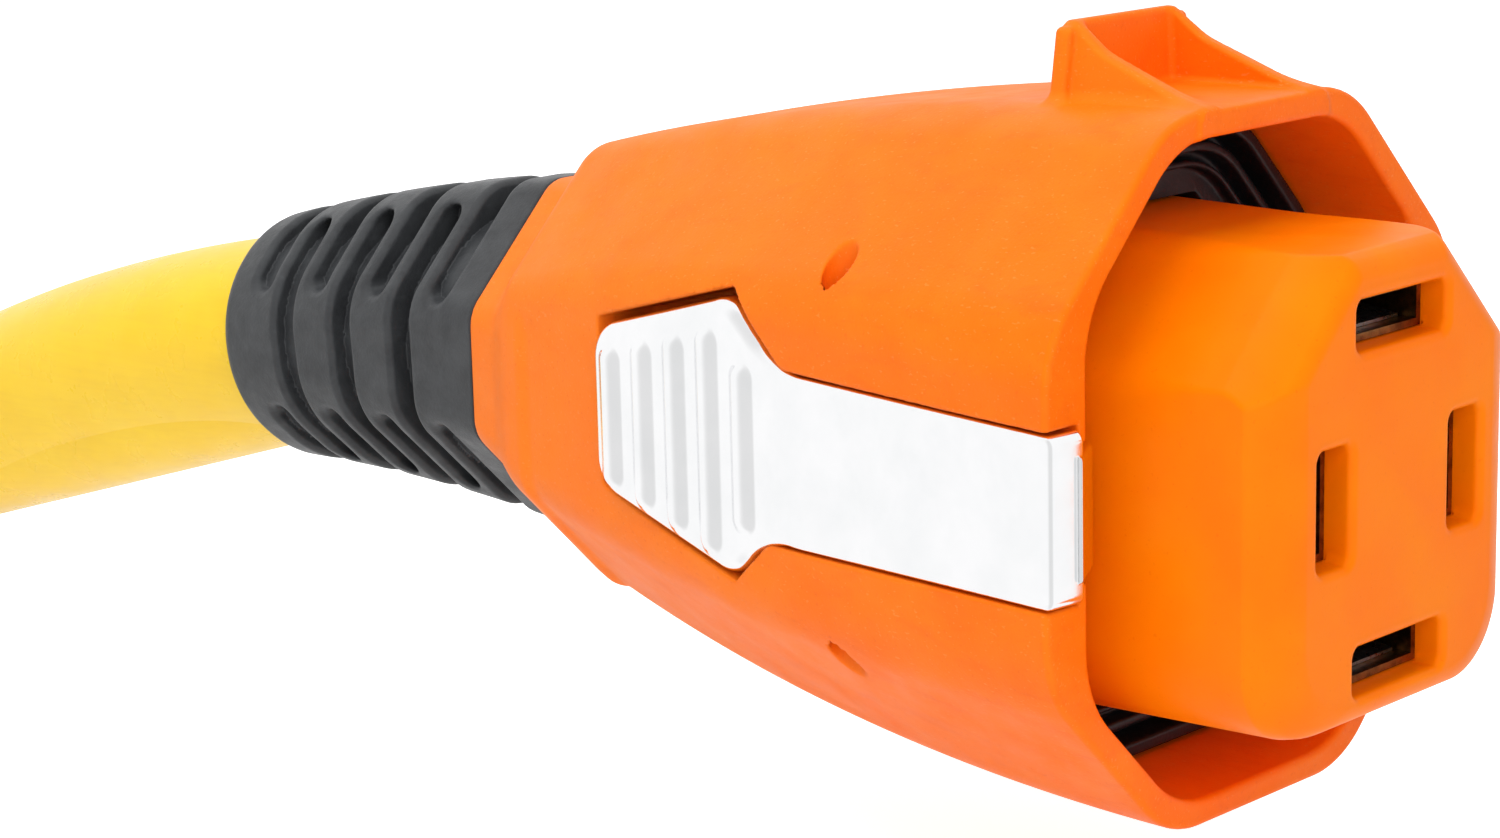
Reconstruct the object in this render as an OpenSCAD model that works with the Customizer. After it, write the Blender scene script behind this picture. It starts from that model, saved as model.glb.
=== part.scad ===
// Shore power cord: the connector end, with its cable stub.
// Origin: centre of the contact pattern on the insert's front (mating) face.
// +X is the mating direction, +Z is up, and the two latches face +Y and -Y.

/* [Shell] */
// Half of the shell's height at its mouth
mouth_half_h = 39.5; // [38.5:0.5:41]
// Half of the shell's width at its mouth
mouth_half_w = 38; // [37.5:0.5:39]
// Radius of the shell's eight long edges at the mouth
edge_r = 13.5; // [11:0.5:14]
// How far the insert stands out of the mouth
insert_reach = 18; // [16:1:20]

/* [Cable] */
// Outside diameter of the cable jacket
cable_d = 28.5; // [28:0.1:28.6]
// Radius of the cable's downward curve
bend_r = 350; // [300:10:500]
// Length of curved cable, from the neck to the straight tail
bend_len = 143; // [120:1:160]
// Length of the straight tail at the cut end
tail_len = 30; // [25:1:60]

/* [Latches] */
// Half height of the latch arm where it meets the thumb pad
arm_half_h = 9.9; // [9.4:0.1:10]
// Half height of the latch arm at its front end
arm_front_half_h = 9.2; // [8.6:0.1:9.4]
// Half height of the thumb pad at its widest
pad_half_h = 16.4; // [15:0.1:16.8]
// Number of finger ribs on each thumb pad
rib_count = 5; // [3:1:5]
// Radius of the pivot pins
pin_r = 1.6; // [1.4:0.1:1.8]

/* [Contacts] */
// Width of the upper and lower blade slots
wide_slot_w = 17; // [16:0.5:17.5]
// Width of the two side blade slots
side_slot_w = 13; // [12.5:0.5:14]
// Height of the upper and lower slots above and below the centre
wide_slot_z = 18.7; // [18.4:0.1:18.8]
// Distance of the side slots from the centre
side_slot_y = 12.4; // [12.2:0.1:12.8]

/* [Hidden] */
$fn = 48;
eps = 0.01;      // thickness of a section slice, and overlap of cutters
cut = 100;       // reach of a cutter that only has to clear the part

// --- Stations along X --------------------------------------------------------------
mouth_x = -insert_reach;
taper_len = 100;                       // length over which the taper formulas run
shoulder_x = mouth_x - taper_len + 4;  // where the rounded shoulder starts
neck_start_x = mouth_x - 95;
neck_end_x = mouth_x - 107;            // rear face of the neck, where the boot starts
ledge_x = mouth_x - 28;                // ledge that the insert's flange rests on
spigot_len = 11;                       // boot's socket on the neck
rise = 0.8;                            // shell axis above the contact centre
cable_z = 0.3;                         // cable axis where it enters the shell

mouth_d = mouth_half_h + mouth_half_w - 21.3;   // |y| + |z| on the mouth's diagonals
neck_h = 22.8;                         // half height, half width, |y| + |z| on the diagonals
neck_w = 19.5;                         // and edge radius of the neck's rear face
neck_d = 27.3;
neck_r = 5;

// --- Walls and gaps ------------------------------------------------------------------
wall_z = 3;        // wall at the top and bottom of the mouth
wall_y = 7;        // wall at the sides of the mouth, which holds the latches
wall_d = 4.8;      // loss of |y|+|z| through the diagonal walls
gap = 0.3;         // gap between parts that are seated in each other
run_gap = 0.05;    // radial running clearance of the latches on their pins
seam = 0.05;       // gap between the neck's rear face and the boot
cable_r = cable_d / 2;

// --- Latch geometry, about its pivot; u runs forward, w outward, z up --------------
pivot_x = mouth_x - 34.7;
face_w = 3.8;          // latch's outer face outward of the pivot axis
latch_slope = 0.12;    // the side faces narrow by this much per mm towards the rear
latch_angle = atan(latch_slope);
latch_mid_w = mouth_half_w - latch_slope * (mouth_x - pivot_x);
pivot_y = latch_mid_w - face_w / cos(latch_angle);
arm_front = 36.2;      // pivot to the front end
pad_rear = 40.9;       // pivot to the rear edge
pad_start = 7;         // pivot to the corner between arm and pad
pad_apex = 15.6;       // pivot to the pad's widest point
pad_rear_half_h = 9.6;
pad_rise = 1;          // the pad's centre line above the arm's
latch_t = 4.8;
hook_depth = 9;        // hook tip below the latch's outer face
hook_len = 5;
barrel_r = 3.6;
pin_half_len = 19;
access_r = 2;          // holes that the pins are driven in through
pocket_gap = 0.3;      // round the arm and below the pad
pocket_gap_top = 0.9;  // above and behind the pad
pocket_rear_depth = 10.2;
pocket_mid_depth = 8.2;
rib_pitch = 6;
rib_first = 13;        // pivot to the foremost rib
rib_r = 2.2;
rib_height = 0.9;
rib_rise = 0.2;        // the ribs' centre line above the arm's
spring_u = -31;        // spring centre, rearward of the pivot
spring_mean_r = 2.4;
spring_wire = 0.7;
spring_turns = 4;
spring_seat_w = -9.3;  // foot of the spring below the latch's outer face

// --- Contacts --------------------------------------------------------------------------
wide_slot_h = 5.5;
side_slot_h = 6.1;
box_wall = 0.8;        // wall of each contact's box, which lines its slot
box_gap = 0.15;
contact_front = -3.5;
box_end = -30;
carrier_x = ledge_x + 1;
carrier_t = 6;
terminal_x = carrier_x - carrier_t - 2;
terminal_len = 13;
terminal_half = 5;
leaf_t = 0.35;         // bowed spring leaves in each box, and how far they bow
leaf_bow = 0.9;
leaf_len = 20;
leaf_gap = 0.05;

// name, y, z, turn about X, slot width, slot height, copper radius, insulation radius
LINES = [
    ["contact_line1", 0, wide_slot_z, 0, wide_slot_w, wide_slot_h, 2.3, 3.7],
    ["contact_line2", 0, -wide_slot_z, 180, wide_slot_w, wide_slot_h, 2.3, 3.7],
    ["contact_neutral", side_slot_y, 0, -90, side_slot_w, side_slot_h, 2.3, 3.7],
    ["contact_ground", -side_slot_y, 0, 90, side_slot_w, side_slot_h, 1.85, 3.3]
];
core_offset = 6.2;       // conductor axes from the cable's axis
filler_r = 10.9;
jacket_end_x = mouth_x - 76;   // where the jacket is stripped back, inside the clamp
fan_x = jacket_end_x + 4;      // where the conductors start to spread

// --- Section formulas --------------------------------------------------------------------
function unit(v) = v / norm(v);
// Arc that rounds corner p, between its neighbours a and b, in n steps
function corner_arc(a, p, b, r, n) =
    let (u = unit(a - p), v = unit(b - p),
         half = acos(min(1, max(-1, u * v))) / 2,
         c = p + unit(u + v) * r / sin(half),
         from = p + u * r / tan(half) - c,
         start = atan2(from.y, from.x),
         side = cross(p - a, b - p) > 0 ? 1 : -1)
    [for (i = [0:n]) c + r * [cos(start + side * (180 - 2 * half) * i / n),
                              sin(start + side * (180 - 2 * half) * i / n)]];
// Closed outline with every corner rounded to the radius of the same place in radii
function rounded(pts, radii, n = 4) =
    let (k = len(pts))
    [for (i = [0:k - 1]) each corner_arc(pts[(i + k - 1) % k], pts[i], pts[(i + 1) % k], radii[i], n)];
// Octagon with 45 degree diagonals on which |y| + |z| = d
function octagon(h, w, d, r) =
    rounded([[w, d - w], [d - h, h], [h - d, h], [-w, d - w],
             [-w, w - d], [h - d, -h], [d - h, -h], [w, w - d]],
            [for (i = [0:7]) r]);
// Taper formulas: t runs from 0 at the mouth to 1 at the end of the taper
function taper(x) = (mouth_x - x) / taper_len;
function half_h(x) = mouth_half_h - 12.5 * pow(taper(x), 2);
function half_w(x) = mouth_half_w - 9.5 * taper(x) - 6.5 * pow(taper(x), 2);
function diag(x) = mouth_d - 3.2 * taper(x) - 20 * pow(taper(x), 2);
function radius(x) = edge_r * (1 - 0.55 * taper(x));
function mix(a, b, s) = a + (b - a) * s;

// Prism along +X: the outline is in the Y-Z plane, its back face at x
module along_x(x, len) {
    translate([x, 0, 0]) rotate([90, 0, 90]) linear_extrude(len) children();
}
module section(x, h, w, d, r, z = rise) {
    along_x(x, eps) translate([0, z]) polygon(octagon(h, w, d, r));
}
module rod_x(x, len, r) {
    translate([x, 0, 0]) rotate([0, 90, 0]) cylinder(h = len, r = r);
}
module both_sides() {
    children();
    mirror([0, 1, 0]) children();
}
// Frame of the left latch: origin on the pivot axis, +X along the latch, +Y outward
module latch_frame() {
    translate([pivot_x, pivot_y, rise]) rotate([0, 0, latch_angle]) children();
}

// --- Shell ----------------------------------------------------------------------------------
// Slice of the neck at s, from inside the taper's end at 0 to the neck's rear face at 1
module neck_section(s, sink = 0) {
    section(mix(neck_start_x, neck_end_x, s), mix(25.1, neck_h, s) - sink, mix(22.8, neck_w, s) - sink,
        mix(32.4, neck_d, s) - sink, neck_r, mix(-1.9, cable_z, s));
}
module shell_body() {
    hull() {
        for (f = [0, 0.15, 0.3, 0.45, 0.6, 0.75, 0.88, 1]) {
            x = mouth_x - eps + (shoulder_x - mouth_x) * f;
            section(x, half_h(x), half_w(x), diag(x), radius(x));
        }
        neck_section(0.5, 0.05);
    }
    hull() for (s = [0, 1]) neck_section(s);
    translate([0, 0, cable_z]) rod_x(neck_end_x - spigot_len, spigot_len + 1, cable_r + 1.95);
}
// Wedge tray on top of the mouth: two sloping side walls and an upright rear wall
catch_half_w = 9.6;
catch_rear_x = mouth_x - 20;
catch_top_z = 48.6;
module catch_walls() {
    top = half_h(mouth_x) + rise;
    translate([0, catch_half_w, 0]) rotate([90, 0, 0]) linear_extrude(2 * catch_half_w)
        polygon([[mouth_x, top - 3], [mouth_x, top + 0.4], [catch_rear_x + 5.5, top + 5.2],
                 [catch_rear_x + 1.8, catch_top_z], [catch_rear_x, catch_top_z],
                 [catch_rear_x, top - 3]]);
    // the rear wall stands out a little beyond the side walls
    translate([catch_rear_x, -catch_half_w - 1.2, top - 3])
        cube([2, 2 * catch_half_w + 2.4, catch_top_z - 0.6 - top + 3]);
}
module catch_tray() {
    top = half_h(mouth_x) + rise;
    wall = 1.7;
    translate([catch_rear_x + wall, -catch_half_w + wall, top])
        cube([cut, 2 * (catch_half_w - wall), cut]);
}
// Outline of the latch in its own u-z plane, grown by gap below and beside, and by gap_top
// above and behind; the arm runs on to the given front end
module latch_outline(gap, gap_top, front, radii) {
    rear = -pad_rear - gap_top;
    polygon(rounded([[front, -arm_front_half_h - gap], [front, arm_front_half_h + gap],
                     [-pad_start, arm_half_h + gap], [-pad_apex, pad_rise + pad_half_h + gap_top],
                     [rear, pad_rise + pad_rear_half_h + gap_top], [rear, pad_rise - pad_rear_half_h - gap],
                     [-pad_apex, pad_rise - pad_half_h - gap], [-pad_start, -arm_half_h - gap]], radii));
}
module latch_pocket() {
    latch_frame() intersection() {
        translate([0, cut / 2, 0]) rotate([90, 0, 0]) linear_extrude(cut)
            latch_outline(pocket_gap, pocket_gap_top, arm_front + 9, [0.5, 0.5, 1, 1, 3, 3, 1, 1]);
        translate([0, face_w, -cut / 2]) linear_extrude(cut)
            polygon([[arm_front + 9, 9], [-pad_rear - 1, 9], [-pad_rear - 1, -pocket_rear_depth],
                     [-barrel_r - 4, -pocket_mid_depth], [barrel_r + 4, -pocket_mid_depth],
                     [barrel_r + 4, -latch_t - 0.6], [arm_front + 9, -latch_t - 0.6]]);
    }
    // window for the hook, through the skin between pocket and mouth
    latch_frame() translate([arm_front - hook_len - 2, face_w - hook_depth - 1, -7.5])
        cube([hook_len + 10, hook_depth, 15]);
}
module pin_holes() {
    translate([pivot_x, pivot_y, rise - pin_half_len]) cylinder(h = 2 * pin_half_len, r = pin_r);
    for (s = [-1, 1])
        translate([pivot_x, pivot_y, rise + s * (pin_half_len + 10)])
            cylinder(h = 20, r = access_r, center = true);
}
screw_ring = [[14, 31.2], [-14, 31.2], [14, -29.6], [-14, -29.6]];
insert_screw_r = 1.5;
module shell() {
    color("darkorange") difference() {
        union() {
            shell_body();
            catch_walls();
        }
        catch_tray();
        hull() {
            section(mouth_x, mouth_half_h - wall_z, mouth_half_w - wall_y, mouth_d - wall_d, edge_r);
            section(ledge_x, mouth_half_h - wall_z - 0.6, mouth_half_w - wall_y - 0.6,
                    mouth_d - wall_d - 1, edge_r);
        }
        hull() {
            section(ledge_x + eps, 28, 22.4, 40, 3);
            section(pivot_x - 42, 24, 16.6, 33, 3);
        }
        translate([0, 0, cable_z]) rod_x(shoulder_x, pivot_x - 42 - shoulder_x + 1, 20);
        translate([0, 0, cable_z]) rod_x(neck_end_x - cut, cut, cable_r + gap);
        translate([0, 0, cable_z]) rod_x(neck_end_x - eps, 20, cable_r + gap);
        both_sides() latch_pocket();
        both_sides() pin_holes();
        for (p = screw_ring)
            translate([0, p.x, p.y]) rod_x(ledge_x - 7, 12, insert_screw_r - 0.1);
    }
}

// --- Contact insert and carrier ---------------------------------------------------------------
insert_w = 25;          // half width, and reach above and below the centre, at the ledge
insert_top = 27;
insert_bottom = 25.4;
insert_chamfer = 13.5;  // leg of the upper corners' chamfer
face_w_half = 18.7;     // half width, and reach above and below the centre, of the front face
face_top = 24.7;
face_bottom = 23.2;
// Outline of the insert in the Y-Z plane: chamfered above, rounded below
module insert_outline(w, top, bottom) {
    polygon(rounded([[w, -bottom], [w, top - insert_chamfer], [w - insert_chamfer, top],
                     [insert_chamfer - w, top], [-w, top - insert_chamfer], [-w, -bottom]],
                    [10, 6, 6, 6, 6, 10], 2));
}
module insert_body() {
    intersection() {
        along_x(ledge_x + 1, -ledge_x - 1) insert_outline(insert_w, insert_top, insert_bottom);
        translate([0, 0, -cut / 2]) linear_extrude(cut)
            polygon([[0, face_w_half], [-1.2, 21.4], [-3.8, insert_w - 1], [ledge_x, insert_w],
                     [ledge_x, -insert_w], [-3.8, 1 - insert_w], [-1.2, -21.4], [0, -face_w_half]]);
        translate([0, cut / 2, 0]) rotate([90, 0, 0]) linear_extrude(cut)
            polygon([[0, face_top], [-2.4, insert_top - 0.8], [ledge_x, insert_top],
                     [ledge_x, -insert_bottom], [-2.4, 0.8 - insert_bottom], [0, -face_bottom]]);
        for (s = [-1, 1])
            rotate([s * 45, 0, 0]) translate([0, cut / 2, 0]) rotate([90, 0, 0]) linear_extrude(cut)
                polygon([[0, 23.4], [-6.4, 26.8], [ledge_x, 27.4], [ledge_x, -cut], [0, -cut]]);
    }
}
// Frame of contact i: its blade slot is along X, its width along Y and its height along Z
module at_line(i) {
    translate([0, LINES[i][1], LINES[i][2]]) rotate([LINES[i][3], 0, 0]) children();
}
module slot_hole(i, x, len) {
    w = LINES[i][4];
    h = LINES[i][5];
    at_line(i) translate([x, -w / 2, -h / 2]) cube([len, w, h]);
}
module contact_insert() {
    color("orange") difference() {
        union() {
            insert_body();
            along_x(ledge_x + 1, 5) translate([0, rise])
                polygon(octagon(mouth_half_h - wall_z - 1, mouth_half_w - wall_y - 2,
                                mouth_d - wall_d - 1.6, edge_r - 1));
        }
        for (i = [0:3]) slot_hole(i, ledge_x, cut);
        for (p = screw_ring)
            translate([0, p.x, p.y]) {
                rod_x(ledge_x, 20, insert_screw_r + 0.2);
                rod_x(ledge_x + 4, 20, 3);
            }
        for (s = [-1, 1])
            translate([0, s * carrier_screw_y, 10.5]) rod_x(ledge_x, 12, insert_screw_r - 0.1);
    }
}
carrier_screw_y = 10.5;
module contact_carrier() {
    color("dimgray") difference() {
        along_x(carrier_x - carrier_t, carrier_t - gap) translate([0, rise])
            polygon(octagon(26.3, 21.3, 38, 3));
        for (i = [0:3])
            at_line(i) translate([-cut, -4.3, -2.4]) cube([cut, 8.6, 4.8]);
        for (s = [-1, 1])
            translate([0, s * carrier_screw_y, 10.5]) rod_x(-cut, cut, insert_screw_r + 0.2);
    }
}
module contact(i) {
    w = LINES[i][4] - 2 * box_gap;
    t = LINES[i][5] - 2 * box_gap;
    color("peru") at_line(i) difference() {
        union() {
            difference() {
                translate([box_end, -w / 2, -t / 2]) cube([contact_front - box_end, w, t]);
                translate([box_end + 3, box_wall - w / 2, box_wall - t / 2])
                    cube([cut, w - 2 * box_wall, t - 2 * box_wall]);
            }
            translate([ledge_x + 2, -w / 2, -2.2]) cube([box_end - ledge_x - 2 + eps, w, 4.4]);
            translate([terminal_x - 1, -4, -2.2]) cube([ledge_x - terminal_x + 4, 8, 4.4]);
            translate([terminal_x - terminal_len, -terminal_half, -terminal_half])
                cube([terminal_len, 2 * terminal_half, 2 * terminal_half]);
        }
        rod_x(terminal_x - terminal_len - 1, terminal_len - 1, LINES[i][6] + 0.1);
        translate([terminal_x - terminal_len / 2, 0, 0]) cylinder(h = cut, r = 2);
    }
}
// Bowed leaf spring across w, its ends on the plane z = 0 and its crest towards -Z
module leaf_spring(w) {
    r = (pow(leaf_len / 2, 2) + pow(leaf_bow, 2)) / (2 * leaf_bow);
    rotate([90, 0, 0]) linear_extrude(w, center = true) intersection() {
        translate([0, r - leaf_bow - leaf_t]) difference() {
            circle(r = r, $fn = 720);
            circle(r = r - leaf_t, $fn = 720);
        }
        translate([-leaf_len / 2, -leaf_bow - 2 * leaf_t]) square([leaf_len, leaf_bow + 2 * leaf_t]);
    }
}
module contact_springs() {
    color("silver") for (i = [0:3], s = [0, 1]) {
        w = LINES[i][4] - 2 * box_gap - 2 * box_wall - 1;
        z = LINES[i][5] / 2 - box_gap - box_wall - leaf_gap;
        at_line(i) mirror([0, 0, s]) translate([contact_front - 2 - leaf_len / 2, 0, z]) leaf_spring(w);
    }
}
// Slotted grub screw along +Z, its tip at z = 0
module grub_screw(r, len) {
    difference() {
        cylinder(h = len, r = r);
        translate([-cut / 2, -0.5, len - 1]) cube([cut, 1, cut]);
    }
}
module terminal_screws() {
    color("silver") for (i = [0:3])
        at_line(i) translate([terminal_x - terminal_len / 2, 0, LINES[i][6] + 0.1])
            grub_screw(1.95, 4);
}
// Pan head screw along -X, its head's underside at x = 0
module pan_screw(r, len, head_r, head_h) {
    difference() {
        union() {
            rod_x(-len, len + eps, r);
            rod_x(0, head_h, head_r);
        }
        for (a = [0, 90])
            rotate([a, 0, 0]) translate([head_h - 1.2, -head_r * 0.6, -0.4]) cube([2, head_r * 1.2, 0.8]);
    }
}
module insert_screws() {
    color("silver") for (p = screw_ring)
        translate([ledge_x + 4, p.x, p.y]) pan_screw(insert_screw_r - 0.15, 10, 2.8, 1.9);
}
module carrier_screws() {
    color("silver") for (s = [-1, 1])
        translate([carrier_x - carrier_t, s * carrier_screw_y, 10.5]) mirror([1, 0, 0])
            pan_screw(insert_screw_r - 0.15, 12, 2.6, 1.8);
}

// --- Seals ----------------------------------------------------------------------------------------
module seal_ring(x, len, grow_out, band) {
    h = mouth_half_h - wall_z - 0.6 - gap - grow_out;
    w = mouth_half_w - wall_y - 0.6 - gap - grow_out;
    d = mouth_d - wall_d - 1.2;
    along_x(x, len) difference() {
        translate([0, rise]) polygon(octagon(h, w, d - 1.4 * grow_out, edge_r - 1));
        if (band > 0)
            translate([0, rise])
                polygon(octagon(h - band, w - band, d - 1.4 * (grow_out + band), edge_r - 2));
        insert_outline(insert_w + gap, insert_top + gap, insert_bottom + gap);
    }
}
module face_seal() {
    back = ledge_x + 6 + gap;
    color("black") {
        seal_ring(back, 4, 0, 0);
        seal_ring(back + 4 - eps, 4.2, 0, 1.6);
        seal_ring(back + 4 - eps, 2.6, 2.8, 1.2);
        seal_ring(back + 4 - eps, 1.6, 5, 0.8);
    }
}
module gland_seal() {
    x = shoulder_x + 0.5;
    color("black") translate([0, 0, cable_z]) rotate([0, 90, 0]) rotate_extrude()
        polygon([[cable_r + 0.1, x], [19.7, x], [19.7, x + 5], [cable_r + 2, x + 5],
                 [cable_r + 0.1, x + 3.5]]);
}

// --- Cable path: straight along X, then an arc of bend_r, then a straight tail ----------
bend_angle = bend_len / bend_r * 180 / PI;
// Frame at arc angle a of the bend, measured rearward: origin on the cable's axis
module bend_frame(a) {
    translate([neck_end_x, 0, cable_z - bend_r]) rotate([0, -a, 0])
        translate([0, 0, bend_r]) children();
}
// Solid along the cable's path, dy and dz beside its axis; over lengthens the tail.
// The tail is drawn down by tail_step, so that it starts cleanly inside the bend.
tail_step = 0.15;
module cable_run(r, dy, dz, front_x, over = 0) {
    translate([0, dy, cable_z + dz]) rod_x(neck_end_x, front_x - neck_end_x, r);
    translate([neck_end_x, 0, cable_z - bend_r]) rotate([90, -90, 0])
        rotate_extrude(angle = bend_angle, $fn = 360) translate([bend_r + dz, -dy]) circle(r = r, $fn = 48);
    bend_frame(bend_angle) translate([0, dy, dz])
        rod_x(-tail_len - over, tail_len + over + 1, r - tail_step);
}
module cable_jacket() {
    color("gold") difference() {
        cable_run(cable_r, 0, 0, jacket_end_x);
        cable_run(filler_r + 0.1, 0, 0, jacket_end_x + 1, 1);
    }
}
// Offset of conductor i from the cable's axis
function core_y(i) = core_offset * sign(LINES[i][1]);
function core_z(i) = core_offset * sign(LINES[i][2]);
module cable_filler() {
    color("burlywood") difference() {
        cable_run(filler_r, 0, 0, jacket_end_x);
        for (i = [0:3]) cable_run(LINES[i][7] + 0.05, core_y(i), core_z(i), jacket_end_x + 1, 1);
    }
}
module rod(p, q, r) {
    d = q - p;
    translate(p) rotate([0, acos(d.z / norm(d)), atan2(d.y, d.x)]) cylinder(h = norm(d), r = r);
}
// The fanned part of one wire, from front_x at its terminal to its place in the cable.
// The sloping stretch is drawn slightly thinner, and each stretch runs on to a mitre.
module fan_out(i, r, front_x, over = 0) {
    near = [terminal_x - terminal_len - 4, LINES[i][1], LINES[i][2]];
    far = [fan_x, core_y(i), cable_z + core_z(i)];
    slope = unit(far - near);
    mitre = r * tan(acos(-slope.x) / 2);
    translate([0, near.y, near.z]) rod_x(near.x - mitre, front_x - near.x + mitre, r);
    rod(near - mitre * slope, far + mitre * slope, r - 0.05);
    translate([0, far.y, far.z]) rod_x(jacket_end_x - over, fan_x - jacket_end_x + over + mitre, r);
}
module conductor(i, shade) {
    front_x = terminal_x - terminal_len - 2;
    color(shade) {
        difference() {
            fan_out(i, LINES[i][7], front_x);
            fan_out(i, LINES[i][6] + 0.05, front_x + 1, 1);
        }
        difference() {
            cable_run(LINES[i][7], core_y(i), core_z(i), jacket_end_x);
            cable_run(LINES[i][6] + 0.05, core_y(i), core_z(i), jacket_end_x + 1, 1);
        }
    }
}
module copper_cores() {
    color("chocolate") for (i = [0:3]) {
        fan_out(i, LINES[i][6], terminal_x - 2.5);
        cable_run(LINES[i][6], core_y(i), core_z(i), jacket_end_x);
    }
}

// --- Strain relief ---------------------------------------------------------------------------
boot_len = 54;
groove_w = 3.6;
function boot_angle(s) = s * boot_len / bend_r * 180 / PI;
// Slice of the boot at s, from the neck's octagon at 0 to a round end at 1
module boot_section(s) {
    end_r = cable_r + 2.75;
    bend_frame(boot_angle(s)) section(-eps - seam, mix(neck_h, end_r, s), mix(neck_w, end_r, s),
        mix(neck_d, end_r * sqrt(2), s), mix(neck_r, end_r - 0.1, s), 0);
}
// Groove round part of the boot, down to the sleeve; low and high are its limits in Z, and
// it leaves the middle standing for half_web to each side
module boot_groove(s, low, high, half_web = 0) {
    sleeve_r = s < 0.22 ? cable_r + 3.3 : cable_r + 1.5;
    bend_frame(boot_angle(s)) difference() {
        translate([-groove_w / 2, -cut / 2, low]) cube([groove_w, cut, high - low]);
        rod_x(-groove_w, 2 * groove_w, sleeve_r);
        if (half_web > 0)
            translate([-groove_w, -half_web, -cut / 2]) cube([2 * groove_w, 2 * half_web, cut]);
    }
}
module boot() {
    color("#202020") difference() {
        hull() for (s = [0:0.25:1]) boot_section(s);
        cable_run(cable_r + 0.15, 0, 0, neck_end_x + 1);
        translate([0, 0, cable_z]) rod_x(neck_end_x - spigot_len - gap, spigot_len + 2, cable_r + 2.05);
        for (s = [0.27, 0.5, 0.73]) boot_groove(s, -mix(20, 15, s), mix(20, 15, s), 5);
        for (s = [0.15, 0.385, 0.615, 0.84]) {
            boot_groove(s, 8, cut);
            boot_groove(s, -cut, -8);
        }
    }
}

// --- Cable clamp --------------------------------------------------------------------------------
clamp_x = shoulder_x + 7;
clamp_len = 10;
clamp_r = 19.5;
clamp_split = 0.6;
clamp_screw_y = 16.6;
clamp_screw_r = 1.25;
module clamp_half(screw_hole_r) {
    translate([0, 0, cable_z]) difference() {
        rod_x(clamp_x, clamp_len, clamp_r);
        rod_x(clamp_x - 1, clamp_len + 2, cable_r + 0.05);
        translate([clamp_x - 1, -cut / 2, clamp_split - cut]) cube([clamp_len + 2, cut, cut]);
        for (s = [-1, 1])
            translate([clamp_x + clamp_len / 2, s * clamp_screw_y, 0]) {
                cylinder(h = 20, r = screw_hole_r);
                translate([0, 0, 5.5]) cylinder(h = 20, r = 2.5);
            }
    }
}
module clamp_upper() {
    color("slategray") clamp_half(clamp_screw_r + 0.2);
}
module clamp_lower() {
    color("slategray") translate([0, 0, 2 * cable_z]) mirror([0, 0, 1]) clamp_half(clamp_screw_r + 0.05);
}
module clamp_screws() {
    color("silver") for (s = [-1, 1])
        translate([clamp_x + clamp_len / 2, s * clamp_screw_y, cable_z + 5.5]) rotate([0, -90, 0])
            pan_screw(clamp_screw_r, 11, 2, 1.5);
}

// --- Latches ---------------------------------------------------------------------------------------
function rib_u(k) = -rib_first - rib_pitch * k;
// Half length of rib k: it follows the pad's edge; the foremost one is shorter
function rib_half_len(k) = k == 0 ? 9.2 : 12.5 - 1.55 * (k - 1);
module rib(k) {
    w = face_w + rib_height - rib_r;
    half = rib_half_len(k) - rib_r / 2;
    translate([rib_u(k), w, rib_rise - half]) cylinder(h = 2 * half, r = rib_r);
    for (z = [-half, half]) translate([rib_u(k), w, rib_rise + z]) sphere(rib_r);
}
module latch() {
    latch_frame() difference() {
        union() {
            intersection() {
                translate([0, face_w, 0]) rotate([90, 0, 0]) linear_extrude(hook_depth)
                    latch_outline(0, 0, arm_front, [1, 1, 2.5, 4, 3, 3, 4, 2.5]);
                translate([0, face_w, 0]) linear_extrude(cut, center = true)
                    polygon([[arm_front, 0], [-pad_rear, 0], [-pad_rear, -latch_t],
                             [arm_front - hook_len, -latch_t], [arm_front - hook_len, -hook_depth],
                             [arm_front - hook_len + 2, -hook_depth], [arm_front, -latch_t]]);
                union() {
                    translate([-cut / 2, -cut, -6.7]) cube([cut, 2 * cut, 13.4]);
                    translate([-cut / 2, face_w - latch_t, -cut / 2]) cube([cut, cut, cut]);
                }
            }
            cylinder(h = 2 * arm_front_half_h, r = barrel_r, center = true);
            for (k = [0:rib_count - 1]) rib(k);
        }
        cylinder(h = cut, r = pin_r + run_gap, center = true);
        translate([spring_u, face_w - latch_t - 1, 0]) rotate([-90, 0, 0])
            cylinder(h = 3, r = spring_mean_r + 0.8);
    }
}
module latch_pin() {
    translate([pivot_x, pivot_y, rise]) union() {
        cylinder(h = 2 * pin_half_len - 1, r = pin_r, center = true);
        cylinder(h = 2 * pin_half_len, r = pin_r - 0.3, center = true);
    }
}
// Round wire wound into a coil; its section at one height is a closed band in polar form
module latch_spring() {
    foot = spring_seat_w;
    top = -latch_t + 2 - spring_wire / 2 - 0.05;
    height = top - foot - spring_wire / 2;
    spread = 180 * spring_wire / (height / spring_turns);
    latch_frame() translate([spring_u, face_w + foot, 0]) rotate([-90, 0, 0])
        linear_extrude(height, twist = -360 * spring_turns, slices = 12 * spring_turns, $fn = 8)
            polygon([for (a = [0:36:324])
                let (rr = spring_mean_r + spring_wire / 2 * cos(a), turn = spread * sin(a))
                rr * [cos(turn), sin(turn)]]);
}

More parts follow.
